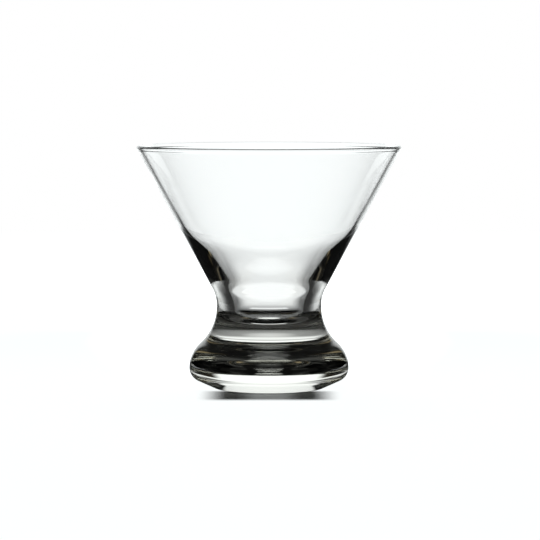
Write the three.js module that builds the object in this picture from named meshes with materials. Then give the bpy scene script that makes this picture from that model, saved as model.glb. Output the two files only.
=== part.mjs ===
import * as THREE from 'three';

// A stemless dessert glass: a wide conical bowl that runs down through a waist
// into a heavy, round-bellied base. It is pressed from one gob of glass, so the
// bowl, the waist and the base are one solid, turned from one closed outline.
// Lengths are in millimetres, +Z is up, and the glass stands on the plane z = 0
// with its axis on the Z axis.

// Overall size
const glassHeight = 97.5;
const rimRadius = 53;

// Base, outside
const footRingRadius = 20.5;
const footRingWidth = 4;
const footEdgeRound = 4;
const puntDepth = 1.9;
const bellyRadius = 32;
const bellyHeight = 8.4;
const bellyLowerRound = 5.5;
const bellyUpperRound = 13.2;

// Waist, outside
const waistRadius = 21.1;
const waistHeight = 33;
const waistBand = 0.8;
const coneRootRound = 13.4;

// Bowl wall: thin at the lip, a little thicker at the knee, where the inside
// turns away from the outer cone with a long, soft round
const rimWall = 1.5;
const kneeHeight = 61.4;
const kneeWall = 1.95;
const kneeRound = 170;

// Well: the narrow bottom of the bowl, inside the waist
const wellTopRadius = 14.9;
const wellTopHeight = 39.8;
const wellTopRound = 26;
const wellFloorRadius = 13.35;
const wellFloorHeight = 25;
const wellFloorRound = 7;

// Fineness of the faceted surface
const turnSegments = 64;
const arcStepAngle = THREE.MathUtils.degToRad(10);
const fewestArcSteps = 2;
const lipSteps = 6;

const halfTurn = Math.PI;
const quarterTurn = Math.PI / 2;

function place(radius, height) {
  return new THREE.Vector2(radius, height);
}

function angleFrom(centre, point) {
  return Math.atan2(point.y - centre.y, point.x - centre.x);
}

function onCircle(centre, radius, angle) {
  return place(centre.x + radius * Math.cos(angle), centre.y + radius * Math.sin(angle));
}

// A long sweep gets more steps than a short one
function stepsFor(sweep) {
  return Math.max(fewestArcSteps, Math.round(Math.abs(sweep) / arcStepAngle));
}

// Points along a circular arc, both ends included
function arc(centre, radius, fromAngle, toAngle, steps = stepsFor(toAngle - fromAngle)) {
  const points = [];
  for (let step = 0; step <= steps; step += 1) {
    const angle = THREE.MathUtils.lerp(fromAngle, toAngle, step / steps);
    points.push(onCircle(centre, radius, angle));
  }
  return points;
}

// The angle of the shared normal where a straight line touches two circles on
// the outside. A negative radius puts the circle on the other side of the line.
function touchingNormal(lowerCentre, lowerRadius, upperCentre, upperRadius) {
  const apart = lowerCentre.distanceTo(upperCentre);
  const lean = Math.acos((lowerRadius - upperRadius) / apart);
  return angleFrom(lowerCentre, upperCentre) - lean;
}

// Rounds the corner of two straight stretches. The round is limited by the
// shorter stretch, so that two neighbouring rounds never cross.
function roundedCorner(before, corner, after, radius) {
  const toBefore = before.clone().sub(corner);
  const toAfter = after.clone().sub(corner);
  const opening = Math.abs(toBefore.angleTo(toAfter));
  const shorter = Math.min(toBefore.length(), toAfter.length());
  const reach = Math.min(radius / Math.tan(opening / 2), shorter / 2);
  const round = reach * Math.tan(opening / 2);
  const start = corner.clone().add(toBefore.setLength(reach));
  const end = corner.clone().add(toAfter.setLength(reach));
  const inward = start.clone().add(end).multiplyScalar(1 / 2).sub(corner);
  const centre = corner.clone().add(inward.setLength(Math.hypot(reach, round)));
  const fromAngle = angleFrom(centre, start);
  let sweep = angleFrom(centre, end) - fromAngle;
  sweep -= 2 * halfTurn * Math.round(sweep / (2 * halfTurn));
  return arc(centre, round, fromAngle, fromAngle + sweep);
}

// Underside: a shallow domed punt, then the flat ring that the glass stands on
function undersideOutline() {
  const puntRadius = footRingRadius - footRingWidth;
  const domeRadius = (puntRadius ** 2 + puntDepth ** 2) / (2 * puntDepth);
  const domeCentre = place(0, puntDepth - domeRadius);
  const edgeAngle = Math.acos(puntRadius / domeRadius);
  return arc(domeCentre, domeRadius, quarterTurn, edgeAngle);
}

// Base: the foot's rounded edge, the sloping under-belly that touches it and
// the belly, and the belly's lower round up to its widest place
function lowerBellyOutline() {
  const footCentre = place(footRingRadius, footEdgeRound);
  const bellyCentre = place(bellyRadius - bellyLowerRound, bellyHeight);
  const normal = touchingNormal(footCentre, footEdgeRound, bellyCentre, bellyLowerRound);
  return [
    ...arc(footCentre, footEdgeRound, -quarterTurn, normal),
    ...arc(bellyCentre, bellyLowerRound, normal, 0),
  ];
}

// Shoulder: the belly's upper round runs straight into the hollow round of the
// waist, whose radius follows from the two meeting without a kink
function shoulderOutline() {
  const bellyCentre = place(bellyRadius - bellyUpperRound, bellyHeight);
  const inset = waistRadius - bellyCentre.x;
  const rise = waistHeight - bellyCentre.y;
  const waistRound =
    (inset ** 2 + rise ** 2 - bellyUpperRound ** 2) / (2 * (bellyUpperRound - inset));
  const waistCentre = place(waistRadius + waistRound, waistHeight);
  const meeting = angleFrom(bellyCentre, waistCentre);
  return [
    ...arc(bellyCentre, bellyUpperRound, 0, meeting).slice(1),
    ...arc(waistCentre, waistRound, meeting + halfTurn, halfTurn).slice(1),
  ];
}

// Bowl, outside: the hollow round above the waist, the straight cone, and the
// round lip, which ends where the wall's inside begins
const coneRootCentre = place(waistRadius + coneRootRound, waistHeight + waistBand);
const lipRound = rimWall / 2;
const lipCentre = place(rimRadius - lipRound, glassHeight - lipRound);
const coneNormal = touchingNormal(coneRootCentre, -coneRootRound, lipCentre, lipRound);

function bowlOutline() {
  return [
    ...arc(coneRootCentre, coneRootRound, halfTurn, coneNormal + halfTurn),
    ...arc(lipCentre, lipRound, coneNormal, coneNormal + halfTurn, lipSteps),
  ];
}

// Radius of the outside cone at a height
function coneRadiusAt(height) {
  const lipTouch = onCircle(lipCentre, lipRound, coneNormal);
  return lipTouch.x + (lipTouch.y - height) * Math.tan(coneNormal);
}

// Inside: the thin wall down to the knee, the steeper funnel that leaves the
// wall thick, the near-upright well and its floor
function insideOutline() {
  const lip = onCircle(lipCentre, lipRound, coneNormal + halfTurn);
  const kneeInset = kneeWall / Math.cos(coneNormal);
  const knee = place(coneRadiusAt(kneeHeight) - kneeInset, kneeHeight);
  const wellTop = place(wellTopRadius, wellTopHeight);
  const floorEdge = place(wellFloorRadius, wellFloorHeight);
  const floorMiddle = place(0, wellFloorHeight);
  return [
    ...roundedCorner(lip, knee, wellTop, kneeRound),
    ...roundedCorner(knee, wellTop, floorEdge, wellTopRound),
    ...roundedCorner(wellTop, floorEdge, floorMiddle, wellFloorRound),
    floorMiddle,
  ];
}

// Turns a closed outline, which starts and ends on the axis, about the Z axis
function turned(outline) {
  const geometry = new THREE.LatheGeometry(outline, turnSegments);
  geometry.rotateX(quarterTurn);
  return geometry;
}

const clearGlass = new THREE.MeshStandardMaterial({
  color: 0xe6efec,
  roughness: 0.03,
  metalness: 0,
  transparent: true,
  opacity: 0.35,
});

function makeGlassBody() {
  const outline = [
    ...undersideOutline(),
    ...lowerBellyOutline(),
    ...shoulderOutline(),
    ...bowlOutline(),
    ...insideOutline(),
  ];
  const body = new THREE.Mesh(turned(outline), clearGlass);
  body.name = 'glass_body';
  return body;
}

const dessertGlass = new THREE.Group();
dessertGlass.name = 'stemless_dessert_glass';
dessertGlass.add(makeGlassBody());

export default dessertGlass;
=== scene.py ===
"""A clear stemless dessert glass on a pale floor, lit from behind.

Lengths are in metres, +Z is up, and the glass stands on z = 0 with its axis on Z.
"""

import math

import bmesh
import bpy
from bpy.props import FloatProperty, FloatVectorProperty, IntProperty, PointerProperty
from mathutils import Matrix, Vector


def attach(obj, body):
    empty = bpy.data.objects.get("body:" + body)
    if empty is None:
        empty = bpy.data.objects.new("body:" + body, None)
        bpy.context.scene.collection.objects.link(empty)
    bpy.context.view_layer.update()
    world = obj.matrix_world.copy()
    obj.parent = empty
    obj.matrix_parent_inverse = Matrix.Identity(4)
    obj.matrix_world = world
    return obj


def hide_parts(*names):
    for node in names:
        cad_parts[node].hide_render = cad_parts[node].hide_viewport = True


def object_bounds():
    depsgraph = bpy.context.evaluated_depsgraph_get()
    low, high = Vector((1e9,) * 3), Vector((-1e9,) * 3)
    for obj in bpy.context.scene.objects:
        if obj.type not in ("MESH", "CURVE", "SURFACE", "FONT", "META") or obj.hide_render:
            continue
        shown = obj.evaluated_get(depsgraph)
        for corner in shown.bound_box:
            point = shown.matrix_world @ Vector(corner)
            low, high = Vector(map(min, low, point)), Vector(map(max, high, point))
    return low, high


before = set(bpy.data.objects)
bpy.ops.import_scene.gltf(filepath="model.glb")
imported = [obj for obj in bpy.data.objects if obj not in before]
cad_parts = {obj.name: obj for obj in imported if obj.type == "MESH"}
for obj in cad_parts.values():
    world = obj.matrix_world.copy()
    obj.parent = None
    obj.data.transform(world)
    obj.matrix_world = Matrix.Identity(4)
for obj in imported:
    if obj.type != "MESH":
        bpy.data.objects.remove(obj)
CAD_LOW, CAD_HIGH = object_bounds()

bl_info = {
    "name": "Stemless dessert glass",
    "version": (1, 0, 0),
    "blender": (4, 5, 0),
    "location": "3D View > Sidebar > Dessert glass",
    "description": "Makes a pressed stemless dessert glass and a bright studio round it",
    "category": "Add Mesh",
}

GLASS_NODE = "glass_body"
BODY = "root"

MM = 0.001

# Points that lie closer than this are one point
TINY = MM * MM

HALF_TURN = math.pi
QUARTER_TURN = math.pi / 2
FULL_TURN = math.tau
UP = (0, 0, 1)
OUTLINE_AXIS = (0, -1, 0)

# Faces of the glass that light crosses where it comes through both walls of the bowl
BOWL_FACES = 4

# Steps of the shortest round
FEWEST_ARC_STEPS = 2


def length(name, description, millimetres):
    """A length that the sidebar shows in the scene's units."""
    return FloatProperty(
        name=name,
        description=description,
        default=millimetres * MM,
        min=0,
        precision=4,
        subtype="DISTANCE",
        unit="LENGTH",
    )


def turn(name, description, degrees):
    """An angle that the sidebar shows in degrees."""
    return FloatProperty(
        name=name,
        description=description,
        default=math.radians(degrees),
        subtype="ANGLE",
        unit="ROTATION",
    )


def count(name, description, default, fewest):
    """A whole number of steps or turns."""
    return IntProperty(name=name, description=description, default=default, min=fewest)


def colour(name, description, default):
    """A colour that the sidebar shows as a swatch."""
    return FloatVectorProperty(
        name=name,
        description=description,
        default=default,
        min=0,
        max=1,
        subtype="COLOR",
    )


def share(name, description, default):
    """A plain number between 0 and 1."""
    return FloatProperty(name=name, description=description, default=default, min=0, max=1)


def brightness(name, description, default):
    """The brightness of a light or a lit surface, where 1 is white in the picture."""
    return FloatProperty(name=name, description=description, default=default, min=0)


class GlassSizes(bpy.types.PropertyGroup):
    """Sizes of the glass, inside and outside."""

    rim_radius: FloatProperty(
        name="Rim radius",
        description="Outside radius at the lip, from the frame",
        default=CAD_HIGH.x,
        subtype="DISTANCE",
        unit="LENGTH",
    )
    glass_height: FloatProperty(
        name="Height",
        description="From the floor to the top of the lip, from the frame",
        default=CAD_HIGH.z,
        subtype="DISTANCE",
        unit="LENGTH",
    )
    foot_ring_radius: length("Foot ring radius", "Outer edge of the flat ring it stands on", 20.5)
    foot_ring_width: length("Foot ring width", "Width of the flat ring", 4)
    foot_edge_round: length("Foot edge round", "Round between the ring and the under-belly", 4)
    punt_depth: length("Punt depth", "Depth of the shallow dome under the base", 1.9)
    belly_radius: length("Belly radius", "Widest radius of the base", 32)
    belly_height: length("Belly height", "Height of the widest place of the base", 8.4)
    belly_lower_round: length("Belly lower round", "Round below the widest place", 5.5)
    belly_upper_round: length("Belly upper round", "Round above the widest place", 13.2)
    waist_radius: length("Waist radius", "Narrowest outside radius", 21.1)
    waist_height: length("Waist height", "Height where the narrowest place begins", 33)
    waist_band: length("Waist band", "Upright stretch at the narrowest place", 0.8)
    cone_root_round: length("Cone root round", "Hollow round between waist and cone", 13.4)
    rim_wall: length("Rim wall", "Wall thickness at the lip", 1.5)
    bead_round: length("Bead round", "Round of the fire-polished bead along the lip", 0.98)
    bead_hollow: length("Bead hollow", "Hollow round between the bead and the wall", 2.2)
    knee_height: length("Knee height", "Height where the inside leaves the outer cone", 61.4)
    knee_wall: length("Knee wall", "Wall thickness at the knee", 1.95)
    knee_round: length("Knee round", "Round of the inside at the knee", 60)
    well_top_radius: length("Well top radius", "Inside radius where the well begins", 14.9)
    well_top_height: length("Well top height", "Height where the well begins", 39.8)
    well_top_round: length("Well top round", "Round between funnel and well", 26)
    well_floor_radius: length("Well floor radius", "Inside radius at the floor's corner", 13.35)
    well_floor_height: length("Well floor height", "Height of the well's floor", 25)
    well_floor_round: length("Well floor round", "Round between the well and its floor", 7)
    outline_step: length("Outline step", "Longest step along a straight stretch", 1.2)
    arc_step: turn("Arc step", "Angle of one step along a round", 2.5)
    lip_steps: count("Lip steps", "Steps round the lip, and across the punt", 32, 4)
    turn_steps: count("Turn steps", "Steps of the full turn about the axis", 240, 16)


class GlassFinish(bpy.types.PropertyGroup):
    """Colour and surface of the glass."""

    tint: colour("Tint", "Colour that light takes on in thick glass", (0.97, 0.965, 0.85))
    tint_density: FloatProperty(
        name="Tint density",
        description="How quickly the tint builds up with thickness, per metre",
        default=7,
        min=0,
    )
    refraction: FloatProperty(
        name="Refraction",
        description="Index of refraction of soda-lime glass",
        default=1.52,
        min=1,
    )
    ripple_size: length("Ripple size", "Distance between soft ripples of the surface", 12)
    ripple_depth: length("Ripple depth", "Depth of the soft ripples", 0.02)


class StudioSettings(bpy.types.PropertyGroup):
    """Floor, light and camera."""

    floor_radius: length("Floor radius", "Radius of the round pale floor", 1100)
    floor_steps: count("Floor steps", "Steps round the floor's edge", 128, 16)
    floor_colour: colour("Floor colour", "Colour of the satin floor", (0.9, 0.9, 0.89))
    floor_roughness: share("Floor roughness", "How much the floor blurs what it mirrors", 0.2)
    # Painted shade: the floor's own colour is made darker under the foot
    foot_shade: share("Foot shade", "How much darker the floor is right under the foot", 0.9)
    foot_shade_radius: length("Foot shade radius", "Radius of that shade", 21)
    foot_shade_edge: length("Foot shade edge", "Width over which that shade fades", 4)
    key_distance: length("Key lamp distance", "From the glass to the soft lamp behind it", 1600)
    key_height: turn("Key lamp height", "Angle of the soft lamp over the floor", 55)
    key_size: length("Key lamp size", "Width of the soft lamp behind the glass", 700)
    key_brightness: brightness("Key lamp", "Brightness that the soft lamp gives the floor", 0.02)
    open_brightness: brightness("Open floor", "Extra brightness of the floor in plain view", 1)
    # Painted shade before the foot, in the floor's glow in plain view
    shade_half_width: length("Shade half width", "Half the width of the foot's soft shade", 16)
    shade_edge: length("Shade edge", "Width over which the shade fades at its sides", 13)
    # Painted light: the lighter middle of that painted shade
    painted_middle_light: brightness("Smudge", "Light that reaches the middle of the shade", 0.14)
    painted_middle_half_width: length("Smudge half width", "Half the width of that lighter middle", 4)
    painted_middle_edge: length("Smudge edge", "Width over which that middle fades", 9)
    shade_back: length("Shade back", "Distance in front of the axis where the shade begins", 8)
    shade_back_edge: length("Shade back edge", "Depth over which the shade begins", 8)
    shade_reach: length("Shade reach", "Distance in front of the axis where the shade fades", 38)
    shade_reach_edge: length("Shade reach edge", "Depth over which the shade ends", 10)
    # Painted light: the pool and the gleam glow on the floor behind the glass, with no lamp
    pool_brightness: brightness("Pool", "Extra brightness of the floor behind the glass", 1.19)
    pool_spread: length("Pool spread", "Half the width of its even part, where it is full", 36)
    pool_edge: length("Pool edge", "Width over which the pool fades at its sides", 53)
    pool_start: length("Pool start", "Distance behind the axis where the pool begins", 40)
    pool_full: length("Pool full", "Distance behind the axis where the pool is full", 195)
    pool_rise: share("Pool rise", "Below 1, it brightens quickly at first and then slowly", 0.5)
    gleam_brightness: brightness("Gleam", "Brightness of the spot behind the glass", 1.05)
    gleam_half_width: length("Gleam half width", "Half the width of the gleam", 13)
    gleam_edge: length("Gleam edge", "Width over which the gleam fades at its sides", 6)
    gleam_start: length("Gleam start", "Distance behind the axis where the gleam begins", 47)
    gleam_full: length("Gleam full", "Distance behind the axis where the gleam is full", 57)
    gleam_end: length("Gleam end", "Distance behind the axis where the gleam fades", 61)
    gleam_gone: length("Gleam gone", "Distance behind the axis where the gleam is gone", 74)
    # Painted shade: a soft band across the flat floor, where the pool and the gleam are dimmed
    shade_band_distance: length("Crease distance", "From the axis to the floor's soft crease", 160)
    shade_band_width: length("Crease width", "Half the width of the crease, with its soft edges", 12)
    shade_band_depth: share("Crease depth", "Share of the light that is missing in the crease", 0.06)
    # Painted light: a warm glow on the floor before the foot, with no lamp behind it
    painted_warm_brightness: brightness("Warm ring", "Brightness of the warm light before the foot", 0.28)
    painted_warm_colour: colour("Warm ring colour", "Colour of that warm light", (1, 0.8, 0.45))
    painted_warm_gap: length("Warm ring gap", "Half the width of the gap in its middle", 22)
    painted_warm_start: length("Warm ring start", "Distance from the axis where that light begins", 26)
    painted_warm_end: length("Warm ring end", "Distance from the axis where that light ends", 56)
    painted_warm_edge: length("Warm ring edge", "Width over which that light fades", 10)
    round_brightness: brightness("Surroundings", "Brightness seen straight through the glass", 1)
    round_turn: turn("Surroundings turn", "Angle from the back where the lit floor begins", 30)
    round_blend: turn("Surroundings blend", "Angle over which the surroundings brighten", 18)
    sky_turn: turn("Upper surroundings turn", "Angle from the back where the lit room begins", 60)
    round_top: turn("Surroundings top", "Height over the floor up to which the room is lit", 40)
    round_start: length("Surroundings start", "From the axis to the lit floor behind the glass", 105)
    round_near: length("Surroundings near", "From the axis to the lit floor beside it", 42)
    near_turn: turn("Near turn", "Angle from the back past which the lit floor comes nearer", 55)
    round_edge: length("Surroundings edge", "Width over which the floor brightens", 55)
    far_start: length("Far floor", "From the axis to the floor that is lit all round", 230)
    mirror_from: turn("Mirror from", "Angle from the back past which the glass mirrors it", 45)
    mirror_turn: turn("Mirror turn", "Angle from the back up to which the glass mirrors it", 75)
    mirror_start: length("Mirror start", "From the axis to the floor that is mirrored", 190)
    backdrop_distance: length("Backdrop distance", "From the axis to the lit backdrop", 250)
    backdrop_half_width: length("Backdrop half width", "Half its even width, at the floor", 90)
    backdrop_edge: length("Backdrop edge", "Width over which it fades at its sides", 50)
    backdrop_height: length("Backdrop height", "Height of the backdrop over the floor", 218)
    backdrop_flare: share("Backdrop flare", "How much each side widens for each step up", 0.33)
    backdrop_top_edge: length("Backdrop top edge", "Height over which it fades at its top", 8)
    backdrop_brightness: brightness("Backdrop", "Brightness of the backdrop", 1.2)
    backdrop_colour: colour("Backdrop colour", "Colour of the studio's light", (0.965, 1, 1))
    glow_brightness: brightness("Ceiling glow", "Brightness of the patch high behind the glass", 0.12)
    glow_width: turn("Ceiling glow half width", "Half the width of that patch", 13)
    glow_foot: turn("Ceiling glow foot", "Angle over the floor where that patch begins", 50)
    front_brightness: brightness("Front panel", "Brightness of the panel behind the camera", 0.05)
    front_width: turn("Front panel half width", "Half the width of the front panel", 12)
    side_brightness: brightness("Side panels", "Brightness of the panels left and right", 0.03)
    side_width: turn("Side panel half width", "Half the width of each side panel", 20)
    helper_blend: turn("Helper blend", "Angle over which front and side panels fade", 15)
    helper_top: turn("Helper top", "Height of the front and side panels", 25)
    room_brightness: brightness("Room", "Dim light from everywhere else", 0.004)
    bounces: count("Bounces", "Light that turns more often than this in the glass is lost", 9, 4)
    camera_distance: length("Camera distance", "From the glass's axis to the camera", 1203.4)
    camera_height: length("Camera height", "Height of the camera above the floor", 131.6)
    aim_height: length("Aim height", "Height on the axis that the camera looks at", 47.5)
    aim_side: length("Aim side", "Sideways step of the camera, to the right", 0.4)
    lens: FloatProperty(
        name="Lens",
        description="Focal length in millimetres",
        default=200.5,
        min=1,
        unit="CAMERA",
    )


def on_circle(centre, radius, angle):
    """The point of a circle at an angle, as radius from the axis and height."""
    return Vector((centre.x + radius * math.cos(angle), centre.y + radius * math.sin(angle)))


def angle_from(centre, point):
    """The angle at which a point is seen from a centre."""
    return math.atan2(point.y - centre.y, point.x - centre.x)


def touching_normal(lower_centre, lower_radius, upper_centre, upper_radius):
    """The angle of the normal of a straight line that touches two circles."""
    apart = (upper_centre - lower_centre).length
    lean = math.acos((lower_radius - upper_radius) / apart)
    return angle_from(lower_centre, upper_centre) - lean


class OutlinePen:
    """Draws the glass's outline in a bmesh, from vertex to vertex."""

    def __init__(self, mesh, start, sizes):
        self.mesh = mesh
        self.sizes = sizes
        self.tip = mesh.verts.new((start.x, 0, start.y))

    def line_to(self, point):
        """A straight stretch, in steps short enough for clean reflections."""
        way = Vector((point.x, 0, point.y)) - self.tip.co
        if way.length < TINY:
            return
        steps = math.ceil(way.length / self.sizes.outline_step)
        for _ in range(steps):
            drawn = bmesh.ops.extrude_vert_indiv(self.mesh, verts=[self.tip])
            self.tip = drawn["verts"][0]
            bmesh.ops.translate(self.mesh, verts=[self.tip], vec=way / steps)

    def arc_to(self, centre, from_angle, to_angle, steps=0):
        """A round stretch about a centre. It starts where the tip is."""
        sweep = to_angle - from_angle
        steps = steps or max(FEWEST_ARC_STEPS, math.ceil(abs(sweep) / self.sizes.arc_step))
        drawn = bmesh.ops.spin(
            self.mesh,
            geom=[self.tip],
            cent=(centre.x, 0, centre.y),
            axis=OUTLINE_AXIS,
            dvec=(0, 0, 0),
            angle=sweep,
            steps=steps,
            use_merge=False,
        )
        self.tip = next(e for e in drawn["geom_last"] if isinstance(e, bmesh.types.BMVert))

    def arc(self, centre, radius, from_angle, to_angle, steps=0):
        """A straight stretch up to a round, and then the round."""
        self.line_to(on_circle(centre, radius, from_angle))
        self.arc_to(centre, from_angle, to_angle, steps)

    def corner(self, before, corner, after, radius):
        """A straight stretch towards a corner, rounded off before the next stretch."""
        to_before = before - corner
        to_after = after - corner
        opening = to_before.angle(to_after)
        shorter = min(to_before.length, to_after.length)
        reach = min(radius / math.tan(opening / 2), shorter / 2)
        rounding = reach * math.tan(opening / 2)
        start = corner + to_before.normalized() * reach
        end = corner + to_after.normalized() * reach
        inward = ((start + end) / 2 - corner).normalized()
        centre = corner + inward * math.hypot(reach, rounding)
        from_angle = angle_from(centre, start)
        sweep = angle_from(centre, end) - from_angle
        sweep -= FULL_TURN * round(sweep / FULL_TURN)
        self.arc(centre, rounding, from_angle, from_angle + sweep)


def draw_base(pen, sizes):
    """The foot's edge, the belly and the waist, up to its narrowest place."""
    foot_centre = Vector((sizes.foot_ring_radius, sizes.foot_edge_round))
    low_centre = Vector((sizes.belly_radius - sizes.belly_lower_round, sizes.belly_height))
    under = touching_normal(foot_centre, sizes.foot_edge_round, low_centre, sizes.belly_lower_round)
    pen.arc(foot_centre, sizes.foot_edge_round, -QUARTER_TURN, under)
    pen.arc(low_centre, sizes.belly_lower_round, under, 0)

    high_centre = Vector((sizes.belly_radius - sizes.belly_upper_round, sizes.belly_height))
    inset = sizes.waist_radius - high_centre.x
    rise = sizes.waist_height - high_centre.y
    waist_round = (inset**2 + rise**2 - sizes.belly_upper_round**2) / (
        2 * (sizes.belly_upper_round - inset)
    )
    waist_centre = Vector((sizes.waist_radius + waist_round, sizes.waist_height))
    meeting = angle_from(high_centre, waist_centre)
    pen.arc(high_centre, sizes.belly_upper_round, 0, meeting)
    pen.arc(waist_centre, waist_round, meeting + HALF_TURN, HALF_TURN)


def draw_bead(pen, sizes, cone_normal, outside, inside, knee):
    """The bead along the lip, with a hollow round on each side that runs into the wall."""
    centre = Vector((sizes.rim_radius - sizes.bead_round, sizes.glass_height - sizes.bead_round))
    outward = on_circle(Vector((0, 0)), 1, cone_normal)
    down_outside = Vector((outward.y, -outward.x))
    down_inside = (knee - inside).normalized()
    inward = Vector((down_inside.y, -down_inside.x))
    hollows = []
    for face, way, down in ((outside, outward, down_outside), (inside, inward, down_inside)):
        gap = (face - centre).dot(way) + sizes.bead_hollow
        reach = math.sqrt((sizes.bead_round + sizes.bead_hollow) ** 2 - gap**2)
        hollows.append(centre + way * gap + down * reach)
    begin, end = [angle_from(centre, hollow) for hollow in hollows]
    sweep = (end - begin) % FULL_TURN
    straight = angle_from(Vector((0, 0)), inward)
    pen.arc(hollows[0], sizes.bead_hollow, cone_normal + HALF_TURN, begin + HALF_TURN)
    pen.arc(centre, sizes.bead_round, begin, begin + sweep, sizes.lip_steps)
    pen.arc(hollows[1], sizes.bead_hollow, end + HALF_TURN, straight + HALF_TURN)


def draw_bowl(pen, sizes):
    """The cone, the lip and the inside down to the middle of the well's floor."""
    root_height = sizes.waist_height + sizes.waist_band
    root_centre = Vector((sizes.waist_radius + sizes.cone_root_round, root_height))
    lip_round = sizes.rim_wall / 2
    lip_centre = Vector((sizes.rim_radius - lip_round, sizes.glass_height - lip_round))
    cone = touching_normal(root_centre, -sizes.cone_root_round, lip_centre, lip_round)
    pen.arc(root_centre, sizes.cone_root_round, HALF_TURN, cone + HALF_TURN)

    lip_outside = on_circle(lip_centre, lip_round, cone)
    lip_inside = on_circle(lip_centre, lip_round, cone + HALF_TURN)
    cone_radius = lip_outside.x + (lip_outside.y - sizes.knee_height) * math.tan(cone)
    knee = Vector((cone_radius - sizes.knee_wall / math.cos(cone), sizes.knee_height))
    draw_bead(pen, sizes, cone, lip_outside, lip_inside, knee)
    well_top = Vector((sizes.well_top_radius, sizes.well_top_height))
    floor_edge = Vector((sizes.well_floor_radius, sizes.well_floor_height))
    floor_middle = Vector((0, sizes.well_floor_height))
    pen.corner(lip_inside, knee, well_top, sizes.knee_round)
    pen.corner(knee, well_top, floor_edge, sizes.well_top_round)
    pen.corner(well_top, floor_edge, floor_middle, sizes.well_floor_round)
    pen.line_to(floor_middle)


def spun_glass(sizes):
    """One closed mesh, spun from the outline about the glass's axis."""
    mesh = bmesh.new()
    punt_radius = sizes.foot_ring_radius - sizes.foot_ring_width
    dome_radius = (punt_radius**2 + sizes.punt_depth**2) / (2 * sizes.punt_depth)
    dome_centre = Vector((0, sizes.punt_depth - dome_radius))
    dome_edge = math.acos(punt_radius / dome_radius)
    pen = OutlinePen(mesh, Vector((0, sizes.punt_depth)), sizes)
    pen.arc_to(dome_centre, QUARTER_TURN, dome_edge, sizes.lip_steps)
    draw_base(pen, sizes)
    draw_bowl(pen, sizes)
    bmesh.ops.spin(
        mesh,
        geom=mesh.verts[:] + mesh.edges[:],
        cent=(0, 0, 0),
        axis=UP,
        dvec=(0, 0, 0),
        angle=FULL_TURN,
        steps=sizes.turn_steps,
        use_merge=True,
    )
    bmesh.ops.remove_doubles(mesh, verts=mesh.verts[:], dist=TINY)
    bmesh.ops.recalc_face_normals(mesh, faces=mesh.faces[:])
    for face in mesh.faces:
        face.smooth = True
    return mesh


def node_tree_of(owner):
    """Turns nodes on and hands back an empty tree."""
    owner.use_nodes = True
    tree = owner.node_tree
    tree.nodes.clear()
    return tree


def calculated(tree, operation, *values):
    """A Math node's result from numbers and outputs of other nodes."""
    node = tree.nodes.new("ShaderNodeMath")
    node.operation = operation
    for socket, value in zip(node.inputs, values):
        if isinstance(value, bpy.types.NodeSocket):
            tree.links.new(value, socket)
        else:
            socket.default_value = value
    return node.outputs["Value"]


def blended(tree, value, start, end, low=0.0, high=1.0):
    """Goes softly from low to high while a value goes from start to end."""
    node = tree.nodes.new("ShaderNodeMapRange")
    node.interpolation_type = "SMOOTHSTEP"
    tree.links.new(value, node.inputs["Value"])
    node.inputs["From Min"].default_value = start
    node.inputs["From Max"].default_value = end
    node.inputs["To Min"].default_value = low
    node.inputs["To Max"].default_value = high
    return node.outputs["Result"]


def rising(tree, value, start, edge):
    """Goes softly from nothing to one over an edge that begins at start."""
    return blended(tree, value, start, start + edge)


def fading(tree, value, start, edge):
    """Goes softly from one to nothing over an edge that begins at start."""
    return blended(tree, value, start, start + edge, 1.0, 0.0)


def multiplied(tree, first, *others):
    """The product of numbers and outputs of other nodes."""
    product = first
    for other in others:
        product = calculated(tree, "MULTIPLY", product, other)
    return product


def clear_glass(finish):
    """Smooth soda-lime glass, tinted in its depth, with faint ripples."""
    material = bpy.data.materials.new("clear_glass")
    tree = node_tree_of(material)
    nodes, links = tree.nodes, tree.links
    output = nodes.new("ShaderNodeOutputMaterial")
    glass = nodes.new("ShaderNodeBsdfPrincipled")
    glass.inputs["Base Color"].default_value = (1, 1, 1, 1)
    glass.inputs["Roughness"].default_value = 0
    glass.inputs["IOR"].default_value = finish.refraction
    glass.inputs["Transmission Weight"].default_value = 1
    depth = nodes.new("ShaderNodeVolumeAbsorption")
    depth.inputs["Color"].default_value = (*finish.tint, 1)
    depth.inputs["Density"].default_value = finish.tint_density
    place = nodes.new("ShaderNodeTexCoord")
    waves = nodes.new("ShaderNodeTexNoise")
    waves.inputs["Scale"].default_value = 1 / finish.ripple_size
    waves.inputs["Detail"].default_value = 0
    ripples = nodes.new("ShaderNodeBump")
    ripples.inputs["Distance"].default_value = finish.ripple_depth
    links.new(place.outputs["Object"], waves.inputs["Vector"])
    links.new(waves.outputs["Fac"], ripples.inputs["Height"])
    links.new(ripples.outputs["Normal"], glass.inputs["Normal"])
    links.new(glass.outputs["BSDF"], output.inputs["Surface"])
    links.new(depth.outputs["Volume"], output.inputs["Volume"])
    return material


class DESSERT_OT_glass(bpy.types.Operator):
    """Makes the glass: bowl, waist and heavy base in one piece"""

    bl_idname = "dessert.glass"
    bl_label = "Make the glass"

    def execute(self, context):
        sizes = context.scene.glass_sizes
        mesh = spun_glass(sizes)
        data = bpy.data.meshes.new("clear_dessert_glass")
        mesh.to_mesh(data)
        mesh.free()
        piece = bpy.data.objects.new("clear_dessert_glass", data)
        context.scene.collection.objects.link(piece)
        data.materials.append(clear_glass(context.scene.glass_finish))
        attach(piece, BODY)
        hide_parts(GLASS_NODE)
        return {"FINISHED"}


def panel_light(tree, away, half_width, height, top, edge, strength):
    """A soft-edged panel of light, seen at an angle away from its middle and at a height."""
    across = fading(tree, away, half_width, edge)
    upwards = fading(tree, height, top, edge)
    return multiplied(tree, across, upwards, strength)


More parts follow.
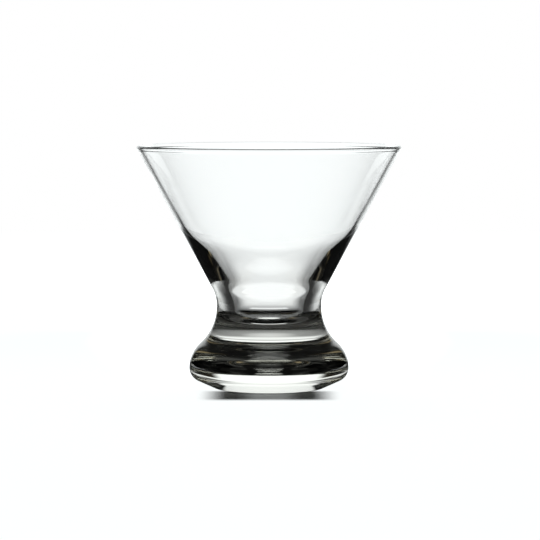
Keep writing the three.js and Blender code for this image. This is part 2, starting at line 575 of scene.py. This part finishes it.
def seen_straight(tree):
    """One for light that comes straight through the glass, without turning round inside it."""
    ray = tree.nodes.new("ShaderNodeLightPath")
    turns = calculated(tree, "ADD", ray.outputs["Glossy Depth"], ray.outputs["Diffuse Depth"])
    unturned = calculated(tree, "LESS_THAN", turns, 1)
    return calculated(tree, "MULTIPLY", unturned, ray.outputs["Is Transmission Ray"])


def seen_through_both_walls(tree):
    """One for light that crosses as many faces of the glass as the bowl's two walls have."""
    ray = tree.nodes.new("ShaderNodeLightPath")
    return calculated(tree, "GREATER_THAN", ray.outputs["Transmission Depth"], BOWL_FACES - 1)


def seen_mirrored(tree):
    """One for light that the outside of the glass mirrors once, without entering it."""
    ray = tree.nodes.new("ShaderNodeLightPath")
    outside = calculated(tree, "LESS_THAN", ray.outputs["Transmission Depth"], 1)
    once = calculated(tree, "LESS_THAN", ray.outputs["Glossy Depth"], 2)
    return multiplied(tree, outside, once, ray.outputs["Is Glossy Ray"])


def light_the_room(world, studio):
    """Dim panels and a glow high behind, sides lit through the glass, white in plain view."""
    tree = node_tree_of(world)
    nodes, links = tree.nodes, tree.links
    place = nodes.new("ShaderNodeTexCoord")
    way = nodes.new("ShaderNodeSeparateXYZ")
    links.new(place.outputs["Generated"], way.inputs["Vector"])
    height = calculated(tree, "ARCSINE", way.outputs["Z"])
    drop = calculated(tree, "SUBTRACT", QUARTER_TURN, height)
    turned = calculated(tree, "ARCTAN2", way.outputs["X"], way.outputs["Y"])
    from_back = calculated(tree, "ABSOLUTE", turned)
    from_front = calculated(tree, "SUBTRACT", HALF_TURN, from_back)
    past_side = calculated(tree, "SUBTRACT", from_back, QUARTER_TURN)
    from_side = calculated(tree, "ABSOLUTE", past_side)
    top = studio.helper_top
    edge = studio.helper_blend
    glow_drop = QUARTER_TURN - studio.glow_foot
    glow = panel_light(tree, from_back, studio.glow_width, drop, glow_drop, edge, studio.glow_brightness)
    front = panel_light(tree, from_front, studio.front_width, height, top, edge, studio.front_brightness)
    sides = panel_light(tree, from_side, studio.side_width, height, top, edge, studio.side_brightness)
    beside = rising(tree, from_back, studio.sky_turn, studio.round_blend)
    below = fading(tree, height, studio.round_top, studio.round_blend)
    shown = seen_straight(tree)
    surroundings = multiplied(tree, beside, below, shown, studio.round_brightness)
    total = studio.room_brightness
    for light in (glow, front, sides, surroundings):
        total = calculated(tree, "MAXIMUM", total, light)
    room = nodes.new("ShaderNodeBackground")
    links.new(total, room.inputs["Strength"])
    paper = nodes.new("ShaderNodeBackground")
    ray = nodes.new("ShaderNodeLightPath")
    mix = nodes.new("ShaderNodeMixShader")
    output = nodes.new("ShaderNodeOutputWorld")
    links.new(ray.outputs["Is Camera Ray"], mix.inputs["Fac"])
    links.new(room.outputs["Background"], mix.inputs[1])
    links.new(paper.outputs["Background"], mix.inputs[2])
    links.new(mix.outputs["Shader"], output.inputs["Surface"])
    room.inputs["Color"].default_value = (*studio.backdrop_colour, 1)
    paper.inputs["Color"].default_value = (1, 1, 1, 1)


class FloorPlaces:
    """Where a point of the floor lies, as outputs of nodes in its material."""

    def __init__(self, tree):
        place = tree.nodes.new("ShaderNodeTexCoord")
        apart = tree.nodes.new("ShaderNodeSeparateXYZ")
        span = tree.nodes.new("ShaderNodeVectorMath")
        span.operation = "LENGTH"
        tree.links.new(place.outputs["Object"], apart.inputs["Vector"])
        tree.links.new(place.outputs["Object"], span.inputs[0])
        turned = calculated(tree, "ARCTAN2", apart.outputs["X"], apart.outputs["Y"])
        self.from_axis = span.outputs["Value"]
        self.from_back = calculated(tree, "ABSOLUTE", turned)
        self.sideways = calculated(tree, "ABSOLUTE", apart.outputs["X"])
        self.behind = apart.outputs["Y"]
        self.ahead = calculated(tree, "MULTIPLY", apart.outputs["Y"], -1)


def pool_light(tree, at, studio):
    """The pool of light behind the glass, which widens and brightens with its distance."""
    past_start = calculated(tree, "SUBTRACT", at.behind, studio.pool_start)
    grown = calculated(tree, "DIVIDE", past_start, studio.pool_full - studio.pool_start)
    kept = calculated(tree, "MAXIMUM", grown, 0)
    topped = calculated(tree, "MINIMUM", kept, 1)
    curved = calculated(tree, "POWER", topped, studio.pool_rise)
    half_width = calculated(tree, "MULTIPLY", curved, studio.pool_spread)
    past_side = calculated(tree, "SUBTRACT", at.sideways, half_width)
    across = fading(tree, past_side, 0, studio.pool_edge)
    return multiplied(tree, across, curved, studio.pool_brightness)


def gleam_light(tree, at, studio):
    """A bright spot behind the glass, which stands in for light that a real glass gathers."""
    begun = blended(tree, at.behind, studio.gleam_start, studio.gleam_full)
    before_end = blended(tree, at.behind, studio.gleam_end, studio.gleam_gone, 1.0, 0.0)
    across = fading(tree, at.sideways, studio.gleam_half_width, studio.gleam_edge)
    return multiplied(tree, begun, before_end, across, studio.gleam_brightness)


def painted_band_shade(tree, at, studio):
    """The share of the light that is left in a painted band of shade across the flat floor, and one
    beside it.
    """
    past_shade_band = calculated(tree, "SUBTRACT", at.behind, studio.shade_band_distance)
    off_shade_band = calculated(tree, "ABSOLUTE", past_shade_band)
    return blended(tree, off_shade_band, 0, studio.shade_band_width, 1 - studio.shade_band_depth, 1.0)


def surroundings_light(tree, at, studio):
    """The floor as it shows straight through the glass: lit beside it, and all round far off."""
    beside = rising(tree, at.from_back, studio.round_turn, studio.round_blend)
    near_end = studio.near_turn + studio.round_blend
    begins = blended(
        tree, at.from_back, studio.near_turn, near_end, studio.round_start, studio.round_near
    )
    past_start = calculated(tree, "SUBTRACT", at.from_axis, begins)
    outwards = rising(tree, past_start, 0, studio.round_edge)
    around = calculated(tree, "MULTIPLY", beside, outwards)

    both_walls = seen_through_both_walls(tree)
    nearer = studio.round_start - studio.far_start
    far_begins = calculated(tree, "MULTIPLY_ADD", both_walls, nearer, studio.far_start)
    past_far = calculated(tree, "SUBTRACT", at.from_axis, far_begins)
    distant = rising(tree, past_far, 0, studio.round_edge)
    lit_ground = calculated(tree, "MAXIMUM", around, distant)
    return multiplied(tree, lit_ground, seen_straight(tree), studio.round_brightness)


def mirrored_light(tree, at, studio):
    """The floor far off to each side behind the glass, which its outside mirrors."""
    far_off = rising(tree, at.from_axis, studio.mirror_start, studio.round_edge)
    beside = rising(tree, at.from_back, studio.mirror_from - studio.round_blend, studio.round_blend)
    behind = fading(tree, at.from_back, studio.mirror_turn, studio.round_blend)
    return multiplied(tree, far_off, beside, behind, seen_mirrored(tree))


def open_light(tree, at, in_view, studio):
    """The floor in plain view: white, with a painted soft shade before the foot and painted light in its
    middle.
    """
    begun = rising(tree, at.ahead, studio.shade_back, studio.shade_back_edge)
    before_end = fading(tree, at.ahead, studio.shade_reach, studio.shade_reach_edge)
    across = fading(tree, at.sideways, studio.shade_half_width, studio.shade_edge)
    shade = multiplied(tree, begun, before_end, across)
    unshaded = calculated(tree, "SUBTRACT", 1, shade)
    middle = fading(tree, at.sideways, studio.painted_middle_half_width, studio.painted_middle_edge)
    painted_middle_glow = calculated(tree, "MULTIPLY", middle, studio.painted_middle_light)
    left_over = calculated(tree, "MULTIPLY_ADD", painted_middle_glow, shade, unshaded)
    return multiplied(tree, left_over, in_view, studio.open_brightness)


def warm_ring_light(tree, at, in_view, studio):
    """Painted warm light round the front of the foot, which shows in the glass, not in plain view."""
    begun = rising(tree, at.from_axis, studio.painted_warm_start, studio.painted_warm_edge)
    before_end = fading(tree, at.from_axis, studio.painted_warm_end, studio.painted_warm_edge)
    in_front = fading(tree, at.behind, -studio.painted_warm_start, studio.painted_warm_start)
    off_middle = rising(tree, at.sideways, studio.painted_warm_gap, studio.painted_warm_edge)
    hidden = calculated(tree, "SUBTRACT", 1, in_view)
    return multiplied(tree, begun, before_end, in_front, off_middle, hidden, studio.painted_warm_brightness)


def pale_floor(studio):
    """A satin pale floor: white in plain view, and with painted light and shade in parts where the glass
    shows it.
    """
    material = bpy.data.materials.new("pale_floor")
    tree = node_tree_of(material)
    nodes, links = tree.nodes, tree.links
    at = FloorPlaces(tree)
    ray = nodes.new("ShaderNodeLightPath")
    in_view = ray.outputs["Is Camera Ray"]
    thrown = calculated(tree, "MAXIMUM", pool_light(tree, at, studio), gleam_light(tree, at, studio))
    band_shaded = calculated(tree, "MULTIPLY", thrown, painted_band_shade(tree, at, studio))
    straight = surroundings_light(tree, at, studio)
    seen = calculated(tree, "MAXIMUM", straight, mirrored_light(tree, at, studio))
    brightest = calculated(tree, "MAXIMUM", seen, band_shaded)
    lit = calculated(tree, "ADD", open_light(tree, at, in_view, studio), brightest)

    # Painted shade: the floor's colour is made darker right under the foot
    under_foot = 1 - studio.foot_shade
    shade_end = studio.foot_shade_radius + studio.foot_shade_edge
    painted_shade_factor = blended(tree, at.from_axis, studio.foot_shade_radius, shade_end, under_foot, 1.0)
    tone = nodes.new("ShaderNodeVectorMath")
    tone.operation = "SCALE"
    tone.inputs[0].default_value = studio.floor_colour
    links.new(painted_shade_factor, tone.inputs["Scale"])
    surface = nodes.new("ShaderNodeBsdfPrincipled")
    surface.inputs["Roughness"].default_value = studio.floor_roughness
    surface.inputs["Specular IOR Level"].default_value = 0
    surface.inputs["Emission Color"].default_value = (*studio.backdrop_colour, 1)
    links.new(tone.outputs["Vector"], surface.inputs["Base Color"])
    links.new(lit, surface.inputs["Emission Strength"])

    # Painted light: the floor's warm glow, with no lamp behind it
    painted_warm_glow = nodes.new("ShaderNodeEmission")
    painted_warm_glow.inputs["Color"].default_value = (*studio.painted_warm_colour, 1)
    links.new(warm_ring_light(tree, at, in_view, studio), painted_warm_glow.inputs["Strength"])
    both = nodes.new("ShaderNodeAddShader")
    output = nodes.new("ShaderNodeOutputMaterial")
    links.new(surface.outputs["BSDF"], both.inputs[0])
    links.new(painted_warm_glow.outputs["Emission"], both.inputs[1])
    links.new(both.outputs["Shader"], output.inputs["Surface"])
    return material


def round_floor(studio):
    """The floor's object: one flat round face at the height that the glass stands on."""
    mesh = bmesh.new()
    bmesh.ops.create_circle(mesh, cap_ends=True, radius=studio.floor_radius, segments=studio.floor_steps)
    data = bpy.data.meshes.new("floor")
    mesh.to_mesh(data)
    mesh.free()
    data.materials.append(pale_floor(studio))
    return bpy.data.objects.new("floor", data)


def lit_backdrop(studio):
    """A white backdrop, lit evenly, that fades to nothing at its sides and its top."""
    material = bpy.data.materials.new("lit_backdrop")
    tree = node_tree_of(material)
    nodes, links = tree.nodes, tree.links
    place = nodes.new("ShaderNodeTexCoord")
    apart = nodes.new("ShaderNodeSeparateXYZ")
    links.new(place.outputs["Object"], apart.inputs["Vector"])
    sideways = calculated(tree, "ABSOLUTE", apart.outputs["X"])
    flare = calculated(tree, "MULTIPLY", apart.outputs["Z"], studio.backdrop_flare)
    past_flare = calculated(tree, "SUBTRACT", sideways, flare)
    across = fading(tree, past_flare, studio.backdrop_half_width, studio.backdrop_edge)
    even_height = studio.backdrop_height - studio.backdrop_top_edge
    upwards = fading(tree, apart.outputs["Z"], even_height, studio.backdrop_top_edge)
    shape = calculated(tree, "MULTIPLY", across, upwards)
    paper = nodes.new("ShaderNodeEmission")
    paper.inputs["Color"].default_value = (*studio.backdrop_colour, 1)
    paper.inputs["Strength"].default_value = studio.backdrop_brightness
    nothing = nodes.new("ShaderNodeBsdfTransparent")
    mix = nodes.new("ShaderNodeMixShader")
    output = nodes.new("ShaderNodeOutputMaterial")
    links.new(shape, mix.inputs["Fac"])
    links.new(nothing.outputs["BSDF"], mix.inputs[1])
    links.new(paper.outputs["Emission"], mix.inputs[2])
    links.new(mix.outputs["Shader"], output.inputs["Surface"])
    return material


def backdrop(studio):
    """The backdrop's object: one upright face that stands on the floor."""
    mesh = bmesh.new()
    widening = studio.backdrop_height * studio.backdrop_flare
    half_width = studio.backdrop_half_width + studio.backdrop_edge + widening
    corner = mesh.verts.new((-half_width, studio.backdrop_distance, 0))
    foot = bmesh.ops.extrude_vert_indiv(mesh, verts=[corner])
    bmesh.ops.translate(mesh, verts=foot["verts"], vec=(2 * half_width, 0, 0))
    upright = bmesh.ops.extrude_edge_only(mesh, edges=foot["edges"])
    raised = [part for part in upright["geom"] if isinstance(part, bmesh.types.BMVert)]
    bmesh.ops.translate(mesh, verts=raised, vec=(0, 0, studio.backdrop_height))
    data = bpy.data.meshes.new("backdrop")
    mesh.to_mesh(data)
    mesh.free()
    data.materials.append(lit_backdrop(studio))
    return bpy.data.objects.new("backdrop", data)


def key_lamp(studio):
    """A large soft lamp, up behind the glass, that lights the floor and that nothing mirrors."""
    data = bpy.data.lights.new("key_lamp", "AREA")
    data.shape = "DISK"
    data.size = studio.key_size
    lean = math.sin(studio.key_height)
    # The power grows with the distance, the slant and the floor's darkness, so that the floor
    # keeps the named brightness
    given = lean / (math.pi * studio.key_distance**2)
    wanted = studio.key_brightness * math.pi / studio.floor_colour[0]
    data.energy = wanted / given
    lamp = bpy.data.objects.new("key_lamp", data)
    lamp.location = (0, studio.key_distance * math.cos(studio.key_height), studio.key_distance * lean)
    lamp.rotation_euler = (-lamp.location).to_track_quat("-Z", "Y").to_euler()
    lamp.visible_camera = False
    lamp.visible_glossy = False
    lamp.visible_transmission = False
    return lamp


def photo_camera(studio):
    """The camera, in front of the glass and a little above its lip."""
    data = bpy.data.cameras.new("camera")
    data.lens = studio.lens
    camera = bpy.data.objects.new("camera", data)
    camera.location = (studio.aim_side, -studio.camera_distance, studio.camera_height)
    aim = Vector((studio.aim_side, 0, studio.aim_height))
    camera.rotation_euler = (aim - camera.location).to_track_quat("-Z", "Y").to_euler()
    return camera


class DESSERT_OT_studio(bpy.types.Operator):
    """Makes the pale floor, the soft lights and the camera"""

    bl_idname = "dessert.studio"
    bl_label = "Make the studio"

    def execute(self, context):
        scene = context.scene
        studio = scene.studio_settings
        floor = round_floor(studio)
        scene.collection.objects.link(floor)

        paper = backdrop(studio)
        scene.collection.objects.link(paper)
        paper.visible_camera = False
        paper.visible_diffuse = False

        scene.collection.objects.link(key_lamp(studio))
        scene.world = bpy.data.worlds.new("studio")
        light_the_room(scene.world, studio)

        camera = photo_camera(studio)
        scene.collection.objects.link(camera)
        scene.camera = camera
        scene.view_settings.view_transform = "Standard"
        scene.cycles.max_bounces = studio.bounces
        scene.cycles.transmission_bounces = studio.bounces
        scene.cycles.glossy_bounces = studio.bounces
        return {"FINISHED"}


class DESSERT_PT_sidebar(bpy.types.Panel):
    """Lists the glass's sizes, its finish and the studio"""

    bl_label = "Dessert glass"
    bl_idname = "DESSERT_PT_sidebar"
    bl_space_type = "VIEW_3D"
    bl_region_type = "UI"
    bl_category = "Dessert glass"

    def draw(self, context):
        layout = self.layout
        scene = context.scene
        for group in (scene.glass_sizes, scene.glass_finish, scene.studio_settings):
            column = layout.column()
            for name in group.__annotations__:
                column.prop(group, name)
        layout.operator(DESSERT_OT_glass.bl_idname)
        layout.operator(DESSERT_OT_studio.bl_idname)


CLASSES = (
    GlassSizes,
    GlassFinish,
    StudioSettings,
    DESSERT_OT_glass,
    DESSERT_OT_studio,
    DESSERT_PT_sidebar,
)


def register():
    """Registers the classes and puts their settings on the scene."""
    for cls in CLASSES:
        bpy.utils.register_class(cls)
    bpy.types.Scene.glass_sizes = PointerProperty(type=GlassSizes)
    bpy.types.Scene.glass_finish = PointerProperty(type=GlassFinish)
    bpy.types.Scene.studio_settings = PointerProperty(type=StudioSettings)


def unregister():
    """Takes the settings and the classes away again."""
    del bpy.types.Scene.studio_settings
    del bpy.types.Scene.glass_finish
    del bpy.types.Scene.glass_sizes
    for cls in reversed(CLASSES):
        bpy.utils.unregister_class(cls)


def main():
    """Registers the add-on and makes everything."""
    register()
    bpy.ops.dessert.glass()
    bpy.ops.dessert.studio()


if __name__ == "__main__":
    main()
